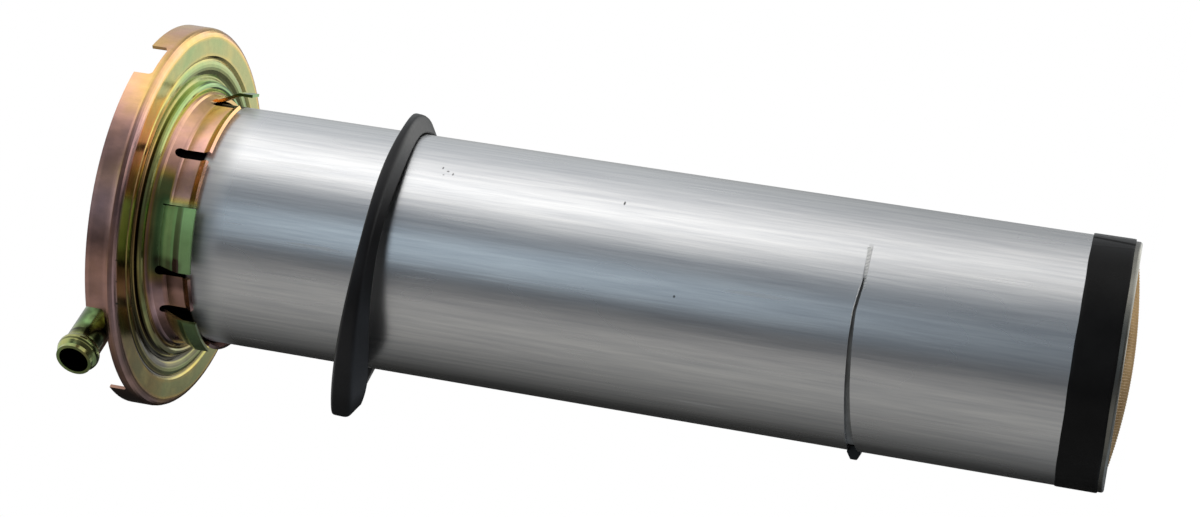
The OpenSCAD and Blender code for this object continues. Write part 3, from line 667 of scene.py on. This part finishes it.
def sweptFaces(rings, points, closed):
    # faces between outlines of as many points each; an open sweep gets a face at each end
    faces = []
    for ring in range(rings if closed else rings - 1):
        here, there = ring * points, (ring + 1) % rings * points
        for point in range(points):
            beside = (point + 1) % points
            faces.append((here + point, here + beside, there + beside, there + point))
    if not closed:
        last = (rings - 1) * points
        faces += [tuple(range(points)), tuple(range(last + points - 1, last - 1, -1))]
    return faces


def roundedOutline(corners, steps):
    # corners are (across, along, radius); each becomes a short curve
    outline = []
    for index, (across, along, radius) in enumerate(corners):
        here = Vector((across, along))
        before = (Vector(corners[index - 1][:2]) - here).normalized() * radius + here
        after = (Vector(corners[(index + 1) % len(corners)][:2]) - here).normalized() * radius + here
        for step in range(steps + 1):
            share = step / steps
            outline.append(before.lerp(here, share).lerp(here.lerp(after, share), share))
    return outline


# Rubber ring, with its moulded edges rounded, bent a little where it hangs loose
gasketPlan = {
    "centre": (-3.75, 0, -46.4),
    "tilt": 10.6,
    "towards": -71,
    "steps": 180,
    "halfWidth": 2.9,
    "outline": [
        (31.3, -2.9, 0.45), (31.7, -2.9, 0.1), (35.15, -0.85, 1.0), (35.2, 2.9, 0.9), (31.3, 2.9, 0.5)],
    "wave": 0.08,
    "waves": 3,
    "waveStart": 0.6,
    # where the ring is pressed narrow from above, where its bevel spreads and where it is bent up:
    # direction, reach, amount
    "dips": [(-18, 34, 2.5), (12, 16, 1.6), (-76, 34, 0.9)],
    "flares": [(-78, 28, -1.1), (-140, 24, 1.6), (15, 18, 2.2)],
    "lifts": [(154, 30, 2.4)],
    "dipPower": 1.5,  # how much of a dip stays near the ring's upper edge
}


def swell(places, degrees):
    # soft bumps round the ring, each with its direction, its reach and its amount
    total = 0
    for centre, reach, amount in places:
        away = (degrees - centre + 180) % 360 - 180
        total += amount * math.exp(-(away / reach) ** 2)
    return total


def makeGasket(plan, material):
    outline = roundedOutline(plan["outline"], 4)
    turned = Matrix.Rotation(math.radians(plan["towards"]), 4, "Z")
    tilted = Matrix.Rotation(math.radians(plan["tilt"]), 4, "Y")
    placed = Matrix.Translation(Vector(plan["centre"]) * mm) @ turned @ tilted
    half = plan["halfWidth"]
    vertices = []
    for step in range(plan["steps"]):
        angle = math.tau * step / plan["steps"]
        degrees = (math.degrees(angle) + plan["towards"] + 180) % 360 - 180
        lift = plan["wave"] * math.sin(plan["waves"] * angle + plan["waveStart"])
        lift += swell(plan["lifts"], degrees)
        dip = swell(plan["dips"], degrees)
        flare = swell(plan["flares"], degrees)
        for across, along in outline:
            share = min(1, max(0, (along + half) / (2 * half)))
            height = along + lift - dip * share ** plan["dipPower"] - flare * (1 - share)
            point = Vector((across * math.cos(angle), across * math.sin(angle), height))
            vertices.append(placed @ (point * mm))
    mesh = meshFrom(vertices, sweptFaces(plan["steps"], len(outline), True))
    finishPiece(mesh, "rubberRing", material, "gasket", "gasket_ring", 60)


# Tape round the tube's end: its lap, its creases and its uneven edges
tapePlan = {
    "steps": 540,
    "rows": 22,
    "low": -209.95,
    "high": -200.9,
    "inner": 27.0,
    "outer": 27.19,
    "lapFrom": -20.0,
    "lapTo": 34.0,
    "lap": 0.17,
    "lapSlant": 3,
    "lapRise": 0.5,
    "lapFall": 20,
    "edge": 0.10,
    "edgeDrop": 0.06,
    # waves along the edges: how many, start, share
    "highWaves": [(7, 0, 0.5), (17, 1, 0.3)],
    "lowWaves": [(9, 0, 0.4)],
    # direction, half width in degrees, height
    "creases": [
        (-24.5, 0.5, 0.06), (-12, 0.6, 0.05), (-150, 0.8, 0.10), (-154, 0.7, 0.08), (-139, 0.6, 0.06)],
    "creaseSlant": 2.5,
}


def tapeOuter(plan, degrees, share):
    radius = plan["outer"]
    slant = degrees - plan["lapSlant"] * share
    rise = (slant - plan["lapFrom"]) / plan["lapRise"]
    fall = (plan["lapTo"] - slant) / plan["lapFall"]
    if rise > 0 and fall > 0:
        radius += plan["lap"] * min(1, rise, fall)
    for centre, reach, height in plan["creases"]:
        away = abs(degrees + plan["creaseSlant"] * share - centre)
        radius += height * max(0, 1 - away / reach)
    return radius


def waveSum(waves, angle):
    return sum(share * (1 + math.sin(count * angle + start)) for count, start, share in waves)


def makeTape(plan, material):
    vertices = []
    points = plan["rows"] + 2
    for step in range(plan["steps"]):
        degrees = 360 * step / plan["steps"] - 180
        turn = math.radians(degrees)
        trim = 2 * sum(share for _, _, share in plan["highWaves"])
        high = plan["high"] + plan["edge"] * (waveSum(plan["highWaves"], turn) - trim)
        low = plan["low"] + plan["edge"] * waveSum(plan["lowWaves"], turn)
        spots = [(plan["inner"], low)]
        for row in range(plan["rows"]):
            share = row / (plan["rows"] - 1)
            drop = plan["edgeDrop"] if row in (0, plan["rows"] - 1) else 0
            spots.append((tapeOuter(plan, degrees, share) - drop, low + (high - low) * share))
        spots.append((plan["inner"], high))
        vertices += [roundPoint(radius, turn, z) for radius, z in spots]
    mesh = meshFrom(vertices, sweptFaces(plan["steps"], points, True))
    finishPiece(mesh, "tapeWrap", material, "housing", "tape_band", 40)


# Tree helpers for Geometry Nodes
def newTree(name, sizes):
    tree = bpy.data.node_groups.new(name, "GeometryNodeTree")
    tree.interface.new_socket("Geometry", in_out="INPUT", socket_type="NodeSocketGeometry")
    for label, value in sizes.items():
        kind = "NodeSocketInt" if isinstance(value, int) else "NodeSocketFloat"
        tree.interface.new_socket(label, in_out="INPUT", socket_type=kind)
    tree.interface.new_socket("Geometry", in_out="OUTPUT", socket_type="NodeSocketGeometry")
    return tree, addNode(tree, "NodeGroupInput").outputs, addNode(tree, "NodeGroupOutput")


def geometryNode(tree, kind, inputs, **settings):
    node = addNode(tree, kind, **settings)
    for name, value in inputs.items():
        feed(tree, value, node.inputs[name])
    return node.outputs


def combined(tree, x, y, z):
    node = addNode(tree, "ShaderNodeCombineXYZ")
    for value, socket in zip((x, y, z), node.inputs):
        feed(tree, value, socket)
    return node.outputs[0]


def meshByTree(tree, geometry, output, material, sizes):
    # closes the tree and runs it on an empty mesh, with its sizes set by socket identifier
    real = geometryNode(tree, "GeometryNodeRealizeInstances", {"Geometry": geometry})
    painted = geometryNode(tree, "GeometryNodeSetMaterial", {"Geometry": real[0], "Material": material})
    tree.links.new(painted[0], output.inputs[0])
    carrier = bpy.data.objects.new("carrier", bpy.data.meshes.new("carrier"))
    bpy.context.scene.collection.objects.link(carrier)
    modifier = carrier.modifiers.new("maker", "NODES")
    modifier.node_group = tree
    for item in tree.interface.items_tree:
        if item.in_out == "INPUT" and item.name in sizes:
            modifier[item.identifier] = sizes[item.name]
    bpy.context.view_layer.update()
    evaluated = carrier.evaluated_get(bpy.context.evaluated_depsgraph_get())
    mesh = bpy.data.meshes.new_from_object(evaluated)
    carrier.modifiers.remove(modifier)
    bpy.data.objects.remove(carrier)
    return mesh


# Woven brass mesh of the strainer
weavePlan = {
    "Wires": 85,  # each way, an odd number
    "Span": 50.4 * mm,
    "Crown": -213.11 * mm,
    "Rise": 2.74 * mm,
    "Wire Radius": 0.14 * mm,
    "Weave": 0.13 * mm,
}


def makeWeave(plan, material):
    tree, given, output = newTree("wovenDome", plan)
    grid = geometryNode(tree, "GeometryNodeMeshGrid", {
        "Size X": given["Span"], "Size Y": given["Span"],
        "Vertices X": given["Wires"], "Vertices Y": given["Wires"]})
    x, y, _, radius = splitCoords(tree, addNode(tree, "GeometryNodeInputPosition").outputs[0])
    reach = calc(tree, "MULTIPLY", given["Span"], 0.5)
    share = calc(tree, "DIVIDE", radius, reach)
    bowl = calc(tree, "MULTIPLY_ADD", product(tree, share, share), given["Rise"], given["Crown"])
    parity = calc(tree, "MODULO", addNode(tree, "GeometryNodeInputIndex").outputs[0], 2.0)
    over = product(tree, calc(tree, "MULTIPLY_ADD", parity, 2.0, -1.0), given["Weave"])
    profile = geometryNode(tree, "GeometryNodeCurvePrimitiveCircle", {
        "Resolution": 4, "Radius": given["Wire Radius"]})
    joined = addNode(tree, "GeometryNodeJoinGeometry")
    # wires one way, then the other way with over and under changed about
    for axis, side in ((0, 1.0), (1, -1.0)):
        height = calc(tree, "MULTIPLY_ADD", over, side, bowl)
        moved = geometryNode(tree, "GeometryNodeSetPosition", {
            "Geometry": grid["Mesh"], "Position": combined(tree, x, y, height)})
        ends = addNode(tree, "GeometryNodeInputMeshEdgeVertices").outputs
        spans = []
        for label in ("Position 1", "Position 2"):
            split = addNode(tree, "ShaderNodeSeparateXYZ")
            tree.links.new(ends[label], split.inputs[0])
            spans.append(split.outputs[axis])
        apart = calc(tree, "ABSOLUTE", calc(tree, "SUBTRACT", *spans))
        crossing = calc(tree, "GREATER_THAN", apart, 0.01 * mm)
        oneWay = geometryNode(
            tree, "GeometryNodeDeleteGeometry", {"Geometry": moved[0], "Selection": crossing},
            domain="EDGE", mode="EDGE_FACE")
        outside = calc(tree, "GREATER_THAN", radius, reach)
        trimmed = geometryNode(
            tree, "GeometryNodeDeleteGeometry", {"Geometry": oneWay[0], "Selection": outside},
            domain="POINT")
        lines = geometryNode(tree, "GeometryNodeMeshToCurve", {"Mesh": trimmed[0]})
        wires = geometryNode(tree, "GeometryNodeCurveToMesh", {
            "Curve": lines[0], "Profile Curve": profile[0], "Fill Caps": True})
        tree.links.new(wires[0], joined.inputs[0])
    mesh = meshByTree(tree, joined.outputs[0], output, material, plan)
    finishPiece(mesh, "wovenDome", material, "housing", "strainer_dome", 80)


# Fine ticks where the saw ran out, each a small block of its own length
chatterPlan = {
    "Ticks": 30,
    "Start": math.radians(-52.6),
    "Step": math.radians(-0.72),
    "Radius": 27.0 * mm,
    "Height": -156.45 * mm,
    "Slope": -0.022 * mm,
    "Depth": 0.10 * mm,
    "Width": 0.17 * mm,
    "Length": 0.95 * mm,
    "Least Share": 0.7,
    "Random Share": 0.5,
    "Taper": -0.018,
    "Seed": 5,
}


def makeChatter(plan, material):
    tree, given, output = newTree("sawChatter", plan)
    line = geometryNode(tree, "GeometryNodeMeshLine", {"Count": given["Ticks"]})
    index = addNode(tree, "GeometryNodeInputIndex").outputs[0]
    angle = calc(tree, "MULTIPLY_ADD", index, given["Step"], given["Start"])
    spot = combined(
        tree, product(tree, calc(tree, "COSINE", angle), given["Radius"]),
        product(tree, calc(tree, "SINE", angle), given["Radius"]),
        calc(tree, "MULTIPLY_ADD", index, given["Slope"], given["Height"]))
    placed = geometryNode(tree, "GeometryNodeSetPosition", {"Geometry": line[0], "Position": spot})
    size = combined(tree, given["Depth"], given["Width"], mm)
    tick = geometryNode(tree, "GeometryNodeMeshCube", {"Size": size})
    spread = geometryNode(tree, "FunctionNodeRandomValue", {"Seed": given["Seed"]}, data_type="FLOAT")
    share = calc(tree, "MULTIPLY_ADD", spread[1], given["Random Share"], given["Least Share"])
    taper = calc(tree, "MULTIPLY_ADD", index, given["Taper"], 1.0)
    long = product(tree, taper, calc(tree, "DIVIDE", given["Length"], mm), share)
    ticks = geometryNode(tree, "GeometryNodeInstanceOnPoints", {
        "Points": placed[0], "Instance": tick[0], "Rotation": combined(tree, 0.0, 0.0, angle),
        "Scale": combined(tree, 1.0, 1.0, long)})
    mesh = meshByTree(tree, ticks[0], output, material, plan)
    finishPiece(mesh, "sawChatter", material, "housing")


# Thin raised burr along the slit's near edge
burrPlan = {
    "from": -69,
    "to": -92,
    "steps": 46,
    "radius": 26.95,
    "wide": 0.22,
    "high": 0.13,
    "ripple": 0.2,
    "ripples": 37,
    "least": 0.02,
    # direction and height of the slit's near edge
    "path": [(-66, -156.45), (-74.3, -156.02), (-84.5, -155.55), (-97, -155.5)],
}


def alongPath(path, degrees):
    for (fromTurn, fromZ), (toTurn, toZ) in zip(path, path[1:]):
        if fromTurn >= degrees >= toTurn:
            return fromZ + (toZ - fromZ) * (degrees - fromTurn) / (toTurn - fromTurn)
    return path[-1][1]


def makeBurr(plan, material):
    vertices = []
    for step in range(plan["steps"] + 1):
        share = step / plan["steps"]
        degrees = plan["from"] + (plan["to"] - plan["from"]) * share
        z = alongPath(plan["path"], degrees)
        swing = 1 - plan["ripple"] + plan["ripple"] * math.sin(plan["ripples"] * share)
        size = math.sqrt(math.sin(math.pi * share)) * swing + plan["least"]
        turn = math.radians(degrees)
        for proud, shift in ((0, -0.5), (plan["high"] * size, 0), (0, 0.5)):
            height = z + shift * plan["wide"] * size
            vertices.append(roundPoint(plan["radius"] + proud, turn, height))
    mesh = meshFrom(vertices, sweptFaces(plan["steps"] + 1, 3, False))
    finishPiece(mesh, "slitBurr", material, "housing", sharpAngle=60)


# Grey sheet set in the bore behind the slit, standing in for the dimly lit inside seen through it: a
# painted shade sheet
slitShadeSheetPlan = {
    "from": -66,
    "to": -186,
    "steps": 60,
    "outer": 25.75,
    "inner": 25.45,
    "low": -159.6,
    "high": -154.9,
}


def makeSlitShadeSheet(plan, material):
    corners = [
        (plan["outer"], plan["low"]), (plan["outer"], plan["high"]), (plan["inner"], plan["high"]),
        (plan["inner"], plan["low"])]
    vertices = []
    for step in range(plan["steps"] + 1):
        turn = math.radians(plan["from"] + (plan["to"] - plan["from"]) * step / plan["steps"])
        vertices += [roundPoint(radius, turn, z) for radius, z in corners]
    mesh = meshFrom(vertices, sweptFaces(plan["steps"] + 1, len(corners), False))
    finishPiece(mesh, "slitShadeSheet", material, "housing")


slitShadeSheetLook = {
    **plainMetal, "dark": (0.30, 0.30, 0.29), "light": (0.42, 0.42, 0.41), "rough": 0.55,
    "cloudScale": 200,
}
burrLook = {
    **plainMetal, "dark": (0.80, 0.80, 0.78), "light": (0.96, 0.95, 0.92), "rough": 0.22,
    "cloudScale": 300,
}
burrMetal = cloudedShader("bareBurr", burrLook)
makeGasket(gasketPlan, finishes["rubber"])
makeSlitShadeSheet(slitShadeSheetPlan, cloudedShader("slitShadeGrey", slitShadeSheetLook))
makeTape(tapePlan, finishes["tape"])
makeWeave(weavePlan, finishes["brass_mesh"])
print("stage: ring, slit shade sheet, tape and mesh")
makeChatter(chatterPlan, burrMetal)
makeBurr(burrPlan, burrMetal)
print("stage: saw ticks and burr")
